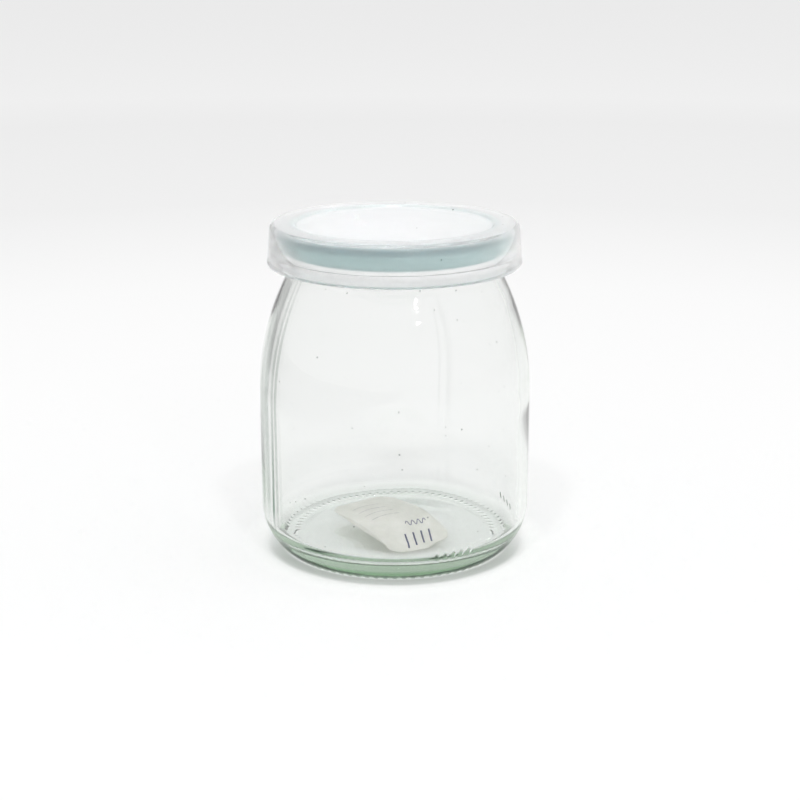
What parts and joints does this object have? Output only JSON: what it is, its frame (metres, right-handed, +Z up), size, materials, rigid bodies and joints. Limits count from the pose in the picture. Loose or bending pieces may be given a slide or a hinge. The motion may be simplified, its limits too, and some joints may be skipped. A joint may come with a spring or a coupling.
{
  "type": "glass jar with press-on lid",
  "caption": "Small clear glass food jar with round shoulders and a knurled foot, closed by a translucent press-on plastic lid, with a curled paper label lying inside.",
  "frame": {"origin": "middle of the circle of knurl crests that the jar stands on", "axes": "+Z up along the jar's axis; the picture was taken from the -Y side, with +X to the right"},
  "size_m": [0.066, 0.066, 0.0802],
  "materials": {
    "clear_glass": "clear soda-lime glass with a slight green tint in its thick foot, polished, with faint waves on its inner side",
    "frosted_plastic": "translucent natural polypropylene with a cool bluish tint, smooth and softly glossy",
    "label_paper": "thin off-white label paper, matt, with pencil creases and plain pen marks"
  },
  "bodies": {
    "root": {"glass_jar": "clear_glass", "lid": "frosted_plastic", "paper_label": "label_paper"}
  },
  "joints": []
}
